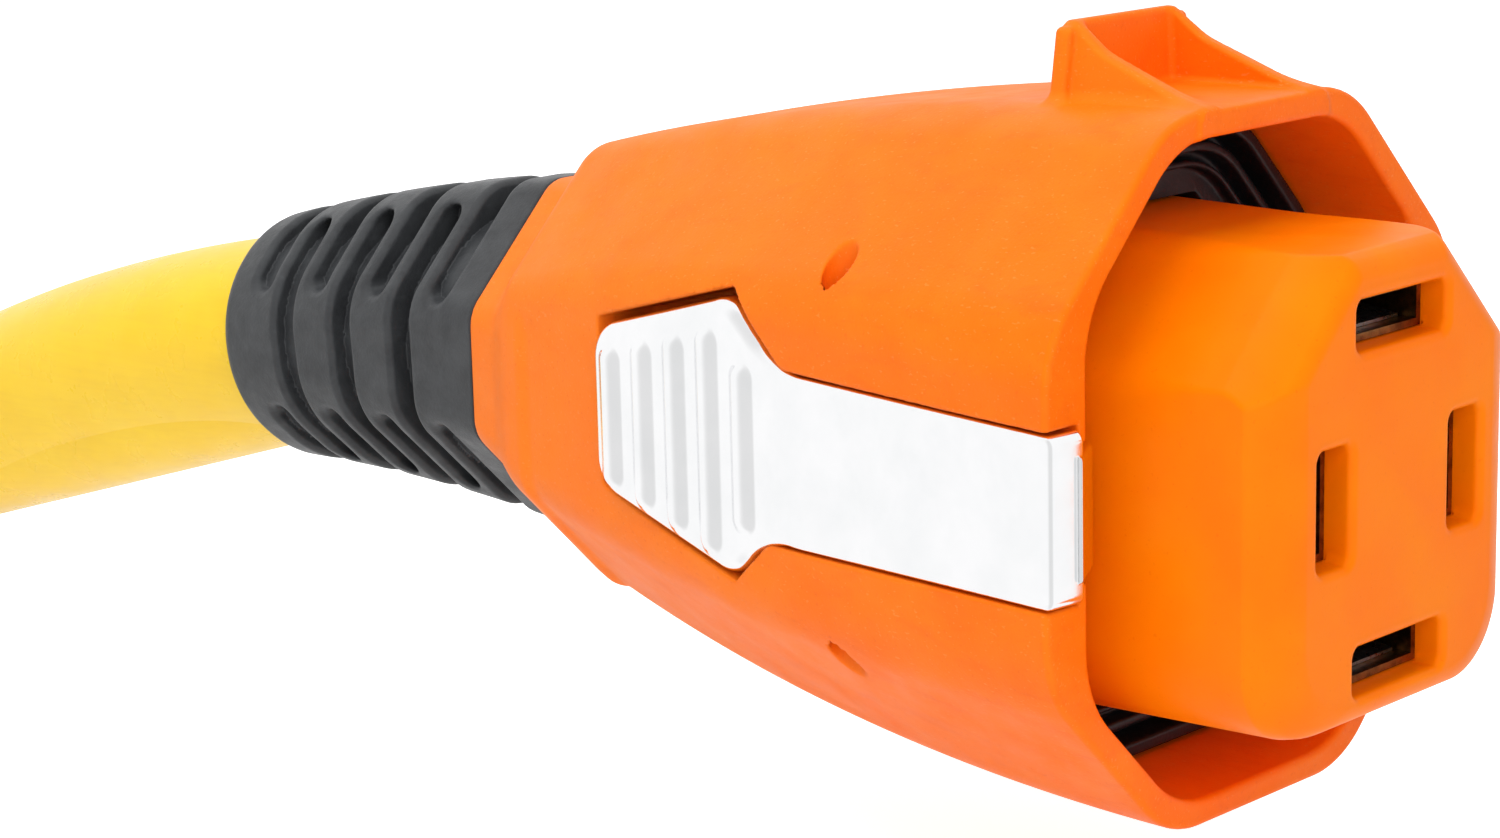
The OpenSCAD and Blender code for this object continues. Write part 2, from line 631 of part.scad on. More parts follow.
module latch_left() {
    color("gainsboro") latch();
}
module latch_right() {
    color("gainsboro") mirror([0, 1, 0]) latch();
}
module latch_pin_left() {
    color("gray") latch_pin();
}
module latch_pin_right() {
    color("gray") mirror([0, 1, 0]) latch_pin();
}
module latch_spring_left() {
    color("silver") latch_spring();
}
module latch_spring_right() {
    color("silver") mirror([0, 1, 0]) latch_spring();
}
module contact_line1() {
    contact(0);
}
module contact_line2() {
    contact(1);
}
module contact_neutral() {
    contact(2);
}
module contact_ground() {
    contact(3);
}
module conductor_line1() {
    conductor(0, "#222222");
}
module conductor_line2() {
    conductor(1, "firebrick");
}
module conductor_neutral() {
    conductor(2, "whitesmoke");
}
module conductor_ground() {
    conductor(3, "green");
}

shell();
contact_insert();
contact_carrier();
face_seal();
gland_seal();
boot();
cable_jacket();
cable_filler();
conductor_line1();
conductor_line2();
conductor_neutral();
conductor_ground();
copper_cores();
contact_line1();
contact_line2();
contact_neutral();
contact_ground();
contact_springs();
terminal_screws();
insert_screws();
carrier_screws();
clamp_upper();
clamp_lower();
clamp_screws();
latch_left();
latch_right();
latch_pin_left();
latch_pin_right();
latch_spring_left();
latch_spring_right();
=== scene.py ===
"""Looks of the shore power cord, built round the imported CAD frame.

Moulded and cast pieces are described as distance fields in millimetres, with every edge and inner
corner rounded to a radius, and meshed once; the rest of the CAD nodes keep their shape and get a material.
"""
import math

import bmesh
import bpy
import numpy as np
import openvdb
from mathutils import Matrix, Vector

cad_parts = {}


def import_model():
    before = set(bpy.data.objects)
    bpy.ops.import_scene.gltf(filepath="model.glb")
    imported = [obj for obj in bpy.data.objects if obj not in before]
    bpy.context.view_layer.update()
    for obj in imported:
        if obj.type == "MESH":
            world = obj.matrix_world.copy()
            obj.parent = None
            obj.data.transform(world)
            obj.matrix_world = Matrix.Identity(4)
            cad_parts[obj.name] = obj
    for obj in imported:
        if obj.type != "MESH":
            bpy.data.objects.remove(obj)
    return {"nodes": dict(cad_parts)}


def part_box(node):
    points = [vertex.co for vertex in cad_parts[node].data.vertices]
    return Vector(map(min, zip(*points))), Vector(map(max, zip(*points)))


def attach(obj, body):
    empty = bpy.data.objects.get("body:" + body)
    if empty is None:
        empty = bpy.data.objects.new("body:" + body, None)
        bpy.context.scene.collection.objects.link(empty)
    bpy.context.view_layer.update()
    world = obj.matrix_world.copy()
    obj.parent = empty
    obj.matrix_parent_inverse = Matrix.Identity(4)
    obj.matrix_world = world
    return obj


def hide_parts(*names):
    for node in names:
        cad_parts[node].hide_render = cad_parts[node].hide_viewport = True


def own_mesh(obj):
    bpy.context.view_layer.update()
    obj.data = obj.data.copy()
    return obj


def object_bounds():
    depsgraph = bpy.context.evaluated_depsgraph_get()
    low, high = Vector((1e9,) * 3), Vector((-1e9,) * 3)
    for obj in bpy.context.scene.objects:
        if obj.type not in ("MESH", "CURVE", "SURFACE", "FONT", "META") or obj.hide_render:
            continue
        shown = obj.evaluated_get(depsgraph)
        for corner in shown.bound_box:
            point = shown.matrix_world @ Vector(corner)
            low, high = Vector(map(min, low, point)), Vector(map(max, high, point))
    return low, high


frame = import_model()
cad_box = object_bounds()

MM = 0.001
ROOT_HALF = math.sqrt(0.5)


def node_box(node):
    """Lowest and highest corner of a CAD node, in millimetres."""
    low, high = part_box(node)
    return np.array(low) / MM, np.array(high) / MM


# ---------------------------------------------------------------- dimensions, from the frame
shell_low, shell_high = node_box("shell")
pin_low, pin_high = node_box("latch_pin_left")
jacket_low, jacket_high = node_box("cable_jacket")

MOUTH_X = shell_high[0]                      # rim of the shell
MOUTH_W = shell_high[1]                      # half width at the rim
RISE = (pin_low[2] + pin_high[2]) / 2        # height of the shell's axis above the contacts
MOUTH_H = RISE - shell_low[2]                # half height at the rim
MOUTH_D = MOUTH_H + MOUTH_W - 21.3           # |y| + |z| on the rim's diagonals
TAPER_LEN = 100.0                            # length over which the taper formulas run
NECK_START = MOUTH_X - 95
NECK_END = MOUTH_X - 107                     # where the boot starts
SPIGOT_LEN, SOCKET_LEN = 11.0, 11.3          # the neck's spigot, and the boot's socket on it
SHOULDER_X = MOUTH_X - 100.4
MOUTH_DEPTH = 28.0
LEDGE_X = MOUTH_X - MOUTH_DEPTH              # ledge that the insert's flange rests on
WALL_Z, WALL_Y, WALL_D = 3.0, 7.0, 4.8       # walls of the mouth
CABLE_Z = 0.3                                # cable axis at the neck
CABLE_R = (jacket_high[1] - jacket_low[1]) / 2
BEND_R = 350.0                               # the cable curves down on this radius
PIVOT_X = (pin_low[0] + pin_high[0]) / 2
PIVOT_Y = (pin_low[1] + pin_high[1]) / 2
LATCH_TILT = math.atan(0.12)
FACE_W = 3.8                                 # latch's outer face outward of its pivot
ARM_FRONT, PAD_REAR = 36.2, 40.9
PAD_START, PAD_APEX = -7.0, -15.6            # along the latch, forward of the pivot
ARM_H, ARM_FRONT_H = 9.9, 9.2                # half heights where the arm meets the pad, and in front
PAD_H, PAD_REAR_H, PAD_RISE = 16.4, 9.6, 1.0
CHAMBER_END = PIVOT_X - 42                   # rear of the wide space behind the ledge
PIN_R = (pin_high[0] - pin_low[0]) / 2
EDGE_R = 13.5                                # radius of the shell's long edges at the rim


# ---------------------------------------------------------------- distance fields
def corner(a, b, r, c=0.0):
    """Both a and b (their overlap), its edge rounded to r where the two faces' normals meet at cosine c."""
    p, q = a + r, b + r
    s = 1 - c * c
    along_p, along_q = (p - c * q) / s, (q - c * p) / s
    far = np.sqrt(np.maximum(along_p * p + along_q * q, 0)) - r
    return np.where((along_p > 0) & (along_q > 0), far, np.maximum(a, b))


def join(a, b, r):
    """Either a or b, with a fillet of radius r where they meet."""
    return -corner(-a, -b, r)


def carve(a, b, r):
    """a with b cut out of it, the cut's rim rounded to r."""
    return corner(a, -b, r)


def ease(t):
    t = np.clip(t, 0, 1)
    return t * t * (3 - 2 * t)


def octagon(y, z, h, w, d, r):
    """Octagon with 45 degree diagonals on which |y| + |z| = d."""
    y, z = np.abs(y), np.abs(z)
    slant = (y + z - d) * ROOT_HALF
    return np.maximum(corner(y - w, slant, r, ROOT_HALF), corner(z - h, slant, r, ROOT_HALF))


def taper(x):
    return (MOUTH_X - x) / TAPER_LEN


def half_h(x):
    return MOUTH_H - 12.5 * taper(x) ** 2


def half_w(x):
    return MOUTH_W - 9.5 * taper(x) - 6.5 * taper(x) ** 2


def diag(x):
    return MOUTH_D - 3.2 * taper(x) - 20 * taper(x) ** 2


def latch_uw(x, y):
    """Latch coordinates of a point: u forward along the latch, w outward, both from the pivot."""
    dx, dy = x - PIVOT_X, y - PIVOT_Y
    c, s = math.cos(LATCH_TILT), math.sin(LATCH_TILT)
    return dx * c + dy * s, dy * c - dx * s


def line(u, z, a, b):
    """Distance to the line from a to b, positive on its left."""
    du, dz = b[0] - a[0], b[1] - a[1]
    return (-(u - a[0]) * dz + (z - a[1]) * du) / math.hypot(du, dz)


def latch_outline(u, z, gap, lift, pad_r, crook_r):
    """Arm with a hexagonal thumb pad, grown by gap; lift grows the pad again, upwards and to the rear."""
    arm_h = ARM_H + (ARM_FRONT_H - ARM_H) * (u - PAD_START) / (ARM_FRONT - PAD_START)
    arm = np.maximum(np.abs(z) - arm_h - gap, -20 - u)
    apex = (PAD_APEX, PAD_H + gap + lift)
    rear = (-PAD_REAR - gap - lift, PAD_REAR_H + gap + lift)
    start = (PAD_START, ARM_H + gap + lift - PAD_RISE)
    z = np.abs(z - PAD_RISE - lift)
    front = line(u, z, apex, start)
    back = line(u, z, rear, apex)
    turn = lambda p, q, s: float(np.dot(np.subtract(q, p) / np.hypot(*np.subtract(q, p)),
                                        np.subtract(s, q) / np.hypot(*np.subtract(s, q))))
    pad = corner(front, back, pad_r, turn(rear, apex, start))
    pad = corner(pad, rear[0] - u, pad_r, turn((rear[0], 0), rear, apex))
    return join(arm, pad, crook_r)


# ---------------------------------------------------------------- shell
SPIGOT_WALL = 1.95
CLAMP_WELL_R = 20.0                          # round space for the cable clamp and the gland seal
ACCESS_R, PIN_HALF_LEN = 2.0, 19.0           # the pins go in through holes above and below them


def shell_field(x, y, z):
    """Tapered octagonal housing: neck, spigot, wedge tray, mouth, inner chamber, latch pockets."""
    y = np.abs(y)
    zs = z - RISE
    body = octagon(y, zs, half_h(x), half_w(x), diag(x), EDGE_R * (1 - 0.55 * taper(x)))
    body = corner(body, x - MOUTH_X, 0.8)
    body = corner(body, SHOULDER_X - x, 4.5)
    s = (NECK_START - x) / (NECK_START - NECK_END)
    neck = octagon(y, z + 1.9 - 2.2 * s, 25.1 - 2.3 * s, 22.8 - 3.3 * s, 32.4 - 5.1 * s, 5)
    neck = corner(neck, np.maximum(NECK_END - x, x - NECK_START - 1), 0.4)
    solid = join(body, neck, 2.5)
    bore = np.hypot(y, z - CABLE_Z)
    spigot = np.maximum(bore - CABLE_R - SPIGOT_WALL, np.maximum(NECK_END - SPIGOT_LEN - x, x - NECK_END - 5))
    solid = np.minimum(solid, spigot)
    solid = join(solid, catch_field(x, y, z), 1.6)
    solid = carve(solid, tray_field(x, y, z), 0.5)
    mouth_s = (MOUTH_X - x) / MOUTH_DEPTH
    mouth = octagon(y, zs, MOUTH_H - WALL_Z - 0.6 * mouth_s, MOUTH_W - WALL_Y - 0.6 * mouth_s,
                    MOUTH_D - WALL_D - mouth_s, EDGE_R)
    solid = carve(solid, np.maximum(mouth, LEDGE_X - x), 0.7)
    inner_s = (LEDGE_X - x) / (LEDGE_X - CHAMBER_END)
    chamber = octagon(y, zs, 28 - 4 * inner_s, 22.4 - 5.8 * inner_s, 40 - 7 * inner_s, 3)
    solid = np.maximum(solid, -np.maximum(chamber, CHAMBER_END - x))
    ahead = x - CHAMBER_END - 1
    well = np.maximum(bore - CLAMP_WELL_R, np.maximum(NECK_START - 1 - x, ahead))
    solid = np.maximum(solid, -np.minimum(well, np.maximum(bore - CABLE_R - 0.3, ahead)))
    solid = carve(solid, pocket_field(x, y, zs), 0.35)
    hole = np.hypot(x - PIVOT_X, y - PIVOT_Y)
    deep = np.maximum(hole - PIN_R - 0.03, np.abs(zs) - 30)
    access = np.maximum(hole - ACCESS_R, PIN_HALF_LEN - np.abs(zs))
    return carve(solid, np.minimum(deep, access), 0.25)


CATCH_W = 9.4
CATCH_REAR = MOUTH_X - 20.2
CATCH_TOP = shell_high[2]
TOP_Z = MOUTH_H + RISE


def catch_field(x, y, z):
    """Wedge tray on top of the rim, as one block: upright rear, sides that flare, sloping crest."""
    side = (y - CATCH_W - 0.17 * (CATCH_TOP - z)) * 0.985
    rear = CATCH_REAR - x
    gentle = (z - TOP_Z + 0.5 - 0.39 * (MOUTH_X - x)) * 0.93
    steep = (z - CATCH_TOP + 0.76 * (x - CATCH_REAR - 1.6)) * 0.8
    crest = -corner(-gentle, -steep, 4, 0.93)
    crest = corner(crest, z - CATCH_TOP, 1.2, 0.8)
    block = corner(side, rear, 0.9)
    block = corner(block, crest, 0.7)
    ear = corner(side - 1.2, corner(rear, x - CATCH_REAR - 2.2, 0.7), 0.7)
    ear = corner(ear, z - CATCH_TOP + 0.6, 0.7)
    block = join(block, ear, 0.5)
    return np.maximum(block, np.maximum(x - MOUTH_X + 0.3, TOP_Z - 6 - z))


def tray_field(x, y, z):
    side = (y - CATCH_W + 1.5 - 0.05 * (CATCH_TOP - z))
    tray = corner(side, CATCH_REAR + 1.7 - x, 0.8)
    return corner(tray, TOP_Z - z, 0.8)


def pocket_field(x, y, zs):
    """Open channel for the latch, deeper under the thumb pad, with a window for the hook."""
    u, w = latch_uw(x, y)
    outline = latch_outline(u, zs, 0.3, 0.3, 0.8, 0.5)
    depth = np.where(u > 7.6, 5.4, 8.2 + np.clip(-u - 7.6, 0, 40) * 0.06)
    channel = corner(outline, FACE_W - depth - w, 0.4)
    window = np.maximum(np.abs(zs) - 7.5, np.maximum(29.2 - u, FACE_W - 10 - w))
    return np.maximum(np.minimum(channel, window), -10 - w)


# ---------------------------------------------------------------- contact insert
SLOTS = [(0, 18.7, 17 / 2, 5.5 / 2), (0, -18.7, 17 / 2, 5.5 / 2),
         (12.4, 0, 6.1 / 2, 13 / 2), (-12.4, 0, 6.1 / 2, 13 / 2)]


def insert_field(x, y, z):
    ya = np.abs(y)
    s = -x

    def bevel(low, high, run, end):
        """Half size at depth s: from low on the face, over a bevel of length run, to end at the back."""
        nose = high - (high - low) * np.clip(1 - s / run, 0, 1) ** 1.5
        return nose + (end - high) * np.clip((s - run) / 40, 0, 1)

    w = bevel(18.7, 24.0, 3.8, 25)
    top = bevel(24.7, 26.2, 2.4, 27)
    bottom = bevel(23.2, 24.6, 2.4, 25.4)
    d = bevel(33.1, 37.9, 6.4, 38.6)
    slant = (ya + z - d) * ROOT_HALF
    soft = 1.5 + 5 * ease((s - 8) / 14)
    upper = np.maximum(corner(ya - w, slant, soft, ROOT_HALF), corner(z - top, slant, soft, ROOT_HALF))
    lower = corner(ya - w, -z - bottom, 9)
    body = corner(np.maximum(upper, lower), x, 1.2)
    flange = octagon(y, z - RISE, MOUTH_H - WALL_Z - 1, MOUTH_W - WALL_Y - 2, MOUTH_D - WALL_D - 1.6,
                     EDGE_R - 1)
    flange = corner(flange, np.maximum(x - LEDGE_X - 6, LEDGE_X + 1 - x), 0.5)
    solid = np.minimum(np.maximum(body, LEDGE_X + 1 - x), flange)
    for cy, cz, hy, hz in SLOTS:
        hole = corner(np.abs(y - cy) - hy, np.abs(z - cz) - hz, np.where(s < 3.2, 1.2, 0.2))
        solid = carve(solid, hole, 1.0)
    return solid


# ---------------------------------------------------------------- meshing
def mesh_field(name, field, low, high, step, mirror=False):
    """Closed mesh of field <= 0 inside the box from low to high, with exact normals, in metres."""
    low, high = np.array(low, float), np.array(high, float)
    step = step * 1
    if mirror:
        low[1] = -step
    axes = [np.arange(low[i], high[i] + step, step, dtype=np.float32) for i in range(3)]
    values = field(axes[0][:, None, None], axes[1][None, :, None], axes[2][None, None, :])
    band = 3 * step
    values = np.clip(values, -band, band).astype(np.float32)
    values = np.broadcast_to(values, [len(a) for a in axes])
    if mirror:
        values = np.concatenate([values[:, :1:-1], values[:, 1:]], axis=1)
        low[1] = -step * (len(axes[1]) - 2)
    grid = openvdb.FloatGrid(band)
    grid.copyFromArray(np.array(values, dtype=np.float32, order="C"))
    points, quads = grid.convertToQuads(0.0)
    points = points.astype(float) * step + low
    for _ in range(2):
        value, slope = gradient(field, points, step)
        move = value[:, None] * slope / np.maximum((slope ** 2).sum(1), 0.25)[:, None]
        points -= np.clip(move, -0.6 * step, 0.6 * step)
    slope = gradient(field, points, step)[1]
    normals = slope / np.maximum(np.linalg.norm(slope, axis=1), 1e-6)[:, None]
    mesh = bpy.data.meshes.new(name)
    mesh.from_pydata((points * MM).tolist(), [], quads.tolist())
    mesh.validate()
    mesh.shade_smooth()
    if len(mesh.vertices) == len(normals):
        mesh.normals_split_custom_set_from_vertices(normals.tolist())
    piece = bpy.data.objects.new(name, mesh)
    bpy.context.scene.collection.objects.link(piece)
    print(name, len(mesh.vertices), "points")
    return piece


def gradient(field, points, step):
    x, y, z = points.T
    h = 0.12 * step
    value = field(x, y, z)
    slope = np.stack([field(x + h, y, z) - field(x - h, y, z), field(x, y + h, z) - field(x, y - h, z),
                      field(x, y, z + h) - field(x, y, z - h)], axis=1) / (2 * h)
    return value, slope


# ---------------------------------------------------------------- latches
LATCH_T = 4.8
HOOK_DEPTH, HOOK_LEN, HOOK_H = 9.0, 5.0, 6.7
BARREL_R = 3.6
RIBS, RIB_FIRST, RIB_PITCH = 5, -13.0, -6.0
RIB_R, RIB_HEIGHT, RIB_RISE = 2.2, 0.9, 0.2
SPRING_U = -31.0


def rib_half_length(k):
    return 9.2 if k == 0 else 12.5 - 1.55 * (k - 1)


def latch_field(x, y, z):
    """Left latch: a plate with a thumb pad, a hook at its front, a pivot barrel and finger ribs."""
    u, w = latch_uw(x, y)
    zs = z - RISE
    za = np.abs(zs)
    outline = corner(latch_outline(u, zs, 0, 0, 4.8, 2.5), u - ARM_FRONT, 1.2)
    edge = 0.5 + 1.3 * ease((-u - 3) / 9)
    plate = corner(outline, w - FACE_W, edge)
    plate = corner(plate, FACE_W - LATCH_T - w, 0.3)
    hook_front = ARM_FRONT - HOOK_LEN + 2
    slope = line(u, w, (ARM_FRONT, FACE_W - LATCH_T), (hook_front, FACE_W - HOOK_DEPTH))
    hook = corner(za - HOOK_H, np.maximum(ARM_FRONT - HOOK_LEN - u, slope), 0.5)
    hook = np.maximum(hook, np.maximum(FACE_W - HOOK_DEPTH - w, w))
    barrel = corner(np.hypot(u, w) - BARREL_R, za - ARM_FRONT_H, 0.4)
    solid = join(np.minimum(plate, hook), barrel, 0.4)
    for k in range(RIBS):
        straight = rib_half_length(k) - RIB_R / 2
        beyond = np.maximum(np.abs(zs - RIB_RISE) - straight, 0)
        rib = np.sqrt((u - RIB_FIRST - RIB_PITCH * k) ** 2 + (w - FACE_W - RIB_HEIGHT + RIB_R) ** 2
                      + beyond ** 2) - RIB_R
        solid = join(solid, rib, 0.35)
    solid = carve(solid, np.hypot(u, w) - PIN_R - 0.05, 0.2)
    seat = np.maximum(np.hypot(u - SPRING_U, zs) - 3.2, w - FACE_W + LATCH_T - 2)
    return np.maximum(solid, -seat)


SPRING_FOOT, SPRING_TOP = FACE_W - 9.3, FACE_W - 2.85    # outward of the pivot
SPRING_MEAN_R, SPRING_WIRE_R, SPRING_TURNS = 2.4, 0.35, 4


def latch_spring(name, side):
    """Round wire coil that stands on the pocket's floor under the thumb pad, on side +1 or -1."""
    steps, sides = 36 * SPRING_TURNS, 10
    low, high = SPRING_FOOT + SPRING_WIRE_R, SPRING_TOP - SPRING_WIRE_R
    c, s = math.cos(LATCH_TILT), math.sin(LATCH_TILT)
    bm = bmesh.new()
    rings = []
    for i in range(steps + 1):
        turn = 2 * math.pi * SPRING_TURNS * i / steps
        ring = []
        for k in range(sides):
            around = 2 * math.pi * k / sides
            radius = SPRING_MEAN_R + SPRING_WIRE_R * math.cos(around)
            u = SPRING_U + radius * math.cos(turn)
            w = low + (high - low) * i / steps + SPRING_WIRE_R * math.sin(around)
            x, y = PIVOT_X + u * c - w * s, PIVOT_Y + u * s + w * c
            ring.append(bm.verts.new(Vector((x, side * y, RISE + radius * math.sin(turn))) * MM))
        rings.append(ring)
    for ring, after in zip(rings, rings[1:]):
        for k in range(sides):
            nxt = (k + 1) % sides
            bm.faces.new((ring[k], after[k], after[nxt], ring[nxt]))
    bm.faces.new(rings[0])
    bm.faces.new(rings[-1])
    bmesh.ops.recalc_face_normals(bm, faces=bm.faces)
    mesh = bpy.data.meshes.new(name)
    bm.to_mesh(mesh)
    bm.free()
    mesh.shade_smooth()
    piece = bpy.data.objects.new(name, mesh)
    bpy.context.scene.collection.objects.link(piece)
    return piece


def mirrored(field):
    return lambda x, y, z: field(x, -y, z)


# ---------------------------------------------------------------- seal, boot
def seal_field(x, y, z):
    """Rubber ring round the insert, with three lips that face the inlet's collar."""
    back = LEDGE_X + 6.3

    def ring(length, inset, band):
        h = MOUTH_H - WALL_Z - 0.9 - inset
        w = MOUTH_W - WALL_Y - 0.9 - inset
        d = MOUTH_D - WALL_D - 1.2 - 1.4 * inset
        solid = octagon(y, z - RISE, h, w, d, EDGE_R - 1)
        if band:
            inner = octagon(y, z - RISE, h - band, w - band, d - 1.4 * band, EDGE_R - 2)
            solid = corner(solid, -inner, 0.3)
        return corner(solid, np.maximum(x - back - length, back - x), 0.35)

    solid = ring(4, 0, 0)
    for length, inset, band in [(8.2, 0, 1.6), (6.6, 2.8, 1.2), (5.6, 5, 0.8)]:
        solid = join(solid, ring(length, inset, band), 0.5)
    ya = np.abs(y)
    slant = (ya + z - 38.9) * ROOT_HALF
    hole = np.maximum(np.maximum(ya - 25.3, slant), np.maximum(z - 27.3, -z - 25.7))
    return np.maximum(solid, -hole)


BOOT_LEN = 54.0
GROOVE_W = 3.8
SLEEVE_R = CABLE_R + 1.5


def along_bend(x, z):
    """Length along the cable's curve rearward of the neck, and height above its axis there."""
    rise = z - CABLE_Z + BEND_R
    return np.arctan2(NECK_END - x, rise) * BEND_R, np.hypot(NECK_END - x, rise) - BEND_R


def boot_field(x, y, z):
    """Bend relief: a taper from the neck's octagon to a round end, with staggered grooves."""
    length, v = along_bend(x, z)
    s = np.clip(length / BOOT_LEN, -0.05, 1.05)
    end_r = CABLE_R + 2.75
    blend = lambda a, b: a + (b - a) * s
    solid = octagon(y, v, blend(22.8, end_r), blend(19.5, end_r), blend(27.3, end_r / ROOT_HALF),
                    np.clip(blend(5, end_r - 0.2), 4, end_r - 0.2))
    solid = corner(solid, length - BOOT_LEN, 2.2)
    solid = corner(solid, -length, 0.3)
    around = np.hypot(y, v)
    va = np.abs(v)
    for share in (0.27, 0.5, 0.73):
        end = 20 - 5 * share
        slot = corner(np.abs(length - share * BOOT_LEN) - GROOVE_W / 2, va - end, GROOVE_W * 0.45)
        slot = np.maximum(slot, np.maximum(SLEEVE_R - around, 5 - np.abs(y)))
        solid = carve(solid, slot, 1.0)
    for share in (0.15, 0.385, 0.615, 0.84):
        floor_r = SLEEVE_R + (1.8 if share < 0.22 else 0)
        slot = corner(np.abs(length - share * BOOT_LEN) - GROOVE_W / 2, 8 - va, GROOVE_W * 0.45)
        solid = carve(solid, np.maximum(slot, floor_r - around), 1.0)
    bore = np.minimum(around - CABLE_R - 0.15, np.maximum(around - CABLE_R - 2.05, length - SOCKET_LEN))
    return np.maximum(solid, -bore)


# ---------------------------------------------------------------- cable jacket
BEND_LEN, TAIL_LEN = 143.0, 30.0
BORE_R = 11.0
STRIP_X = MOUTH_X - 76


def cable_point(run, radius, turn):
    """Point at radius and turn about the cable's axis, run mm rearward of the neck."""
    angle = min(max(run, 0), BEND_LEN) / BEND_R
    straight = min(run, 0) + max(run - BEND_LEN, 0)
    height = radius * math.cos(turn)
    return Vector((NECK_END - (BEND_R + height) * math.sin(angle) - straight * math.cos(angle),
                   radius * math.sin(turn),
                   CABLE_Z - BEND_R + (BEND_R + height) * math.cos(angle) - straight * math.sin(angle)))


def cable_jacket():
    """Hollow jacket swept along the cable's path, a little wavy as soft PVC is."""
    first, last = NECK_END - STRIP_X, BEND_LEN + TAIL_LEN
    sides, rows = 96, 120
    runs = [-first + (last + first) * i / rows for i in range(rows + 1)]
    wave = lambda run, turn: 0.05 * math.sin(run / 17) * math.sin(2 * turn + run / 60)
    loop = [(runs[0], BORE_R, 0), (runs[0] + 0.1, CABLE_R - 0.4, 0)]
    loop += [(run, CABLE_R - 0.06, 1) for run in runs[1:-1]]
    loop += [(last - 0.6, CABLE_R - 0.08, 1), (last - 0.15, CABLE_R - 0.25, 0), (last, CABLE_R - 0.8, 0),
             (last, BORE_R, 0)]
    return revolve("cable_jacket_sleeve", loop, sides, wave)


def revolve(name, loop, sides, wave):
    """Closed sweep of a loop of (run, radius, wavy) round the cable's path."""
    bm = bmesh.new()
    rings = []
    for run, radius, wavy in loop:
        turns = [2 * math.pi * k / sides for k in range(sides)]
        rings.append([bm.verts.new(cable_point(run, radius + wavy * wave(run, t), t) * MM) for t in turns])
    for ring, after in zip(rings, rings[1:] + rings[:1]):
        for k in range(sides):
            nxt = (k + 1) % sides
            bm.faces.new((ring[k], after[k], after[nxt], ring[nxt]))
    bmesh.ops.recalc_face_normals(bm, faces=bm.faces)
    mesh = bpy.data.meshes.new(name)
    bm.to_mesh(mesh)
    bm.free()
    mesh.shade_smooth()
    mesh.set_sharp_from_angle(angle=math.radians(50))
    piece = bpy.data.objects.new(name, mesh)
    bpy.context.scene.collection.objects.link(piece)
    return piece


# ---------------------------------------------------------------- materials
def srgb(red, green, blue):
    """Linear colour from 0-255 display values."""
    linear = lambda c: c / 12.92 if c <= 0.04045 else ((c + 0.055) / 1.055) ** 2.4
    return [linear(c / 255) for c in (red, green, blue)] + [1]


class Finish:
    """A material and the few node patterns that the finishes below are made of, sized in mm."""

    def __init__(self, name, **settings):
        self.material = bpy.data.materials.new(name)
        self.material.use_nodes = True
        self.tree = self.material.node_tree
        self.shader = self.tree.nodes["Principled BSDF"]
        self.place = self.tree.nodes.new("ShaderNodeTexCoord").outputs["Object"]
        for key, value in settings.items():
            self.put(self.shader.inputs[key.replace("_", " ")], value)

    def put(self, socket, value):
        if hasattr(value, "is_output"):
            self.tree.links.new(value, socket)
        else:
            socket.default_value = value

    def noise(self, size, detail=3.0, rough=0.5, stretch=(1, 1, 1), warp=0.0):
        """Cloudy pattern whose blobs are about size mm across, drawn out by stretch."""
        mapping = self.tree.nodes.new("ShaderNodeMapping")
        mapping.inputs["Scale"].default_value = [1 / MM / size / s for s in stretch]
        self.put(mapping.inputs["Vector"], self.place)
        node = self.tree.nodes.new("ShaderNodeTexNoise")
        self.put(node.inputs["Vector"], mapping.outputs["Vector"])
        node.inputs["Scale"].default_value = 1
        node.inputs["Detail"].default_value = detail
        node.inputs["Roughness"].default_value = rough
        node.inputs["Distortion"].default_value = warp
        return node.outputs["Fac"]

    def remap(self, value, low, high, to_low=0.0, to_high=1.0):
        node = self.tree.nodes.new("ShaderNodeMapRange")
        for name, v in zip(("Value", "From Min", "From Max", "To Min", "To Max"),
                           (value, low, high, to_low, to_high)):
            self.put(node.inputs[name], v)
        return node.outputs["Result"]

    def mix(self, share, a, b, kind="MIX"):
        node = self.tree.nodes.new("ShaderNodeMix")
        node.data_type = "RGBA"
        node.blend_type = kind
        self.put(node.inputs["Factor"], share)
        self.put(node.inputs["A"], a)
        self.put(node.inputs["B"], b)
        return node.outputs["Result"]

    def bump(self, height, depth, below=None):
        """Bump of depth mm from a 0-1 height."""
        node = self.tree.nodes.new("ShaderNodeBump")
        node.inputs["Distance"].default_value = depth * MM
        self.put(node.inputs["Height"], height)
        if below is not None:
            self.put(node.inputs["Normal"], below)
        return node.outputs["Normal"]

    def along(self, axis):
        """Position along one axis, in mm."""
        split = self.tree.nodes.new("ShaderNodeSeparateXYZ")
        self.put(split.inputs["Vector"], self.place)
        node = self.tree.nodes.new("ShaderNodeMath")
        node.operation = "MULTIPLY"
        self.put(node.inputs[0], split.outputs[axis])
        node.inputs[1].default_value = 1 / MM
        return node.outputs["Value"]

    def set(self, **sockets):
        for key, value in sockets.items():
            self.put(self.shader.inputs[key.replace("_", " ")], value)
        return self.material


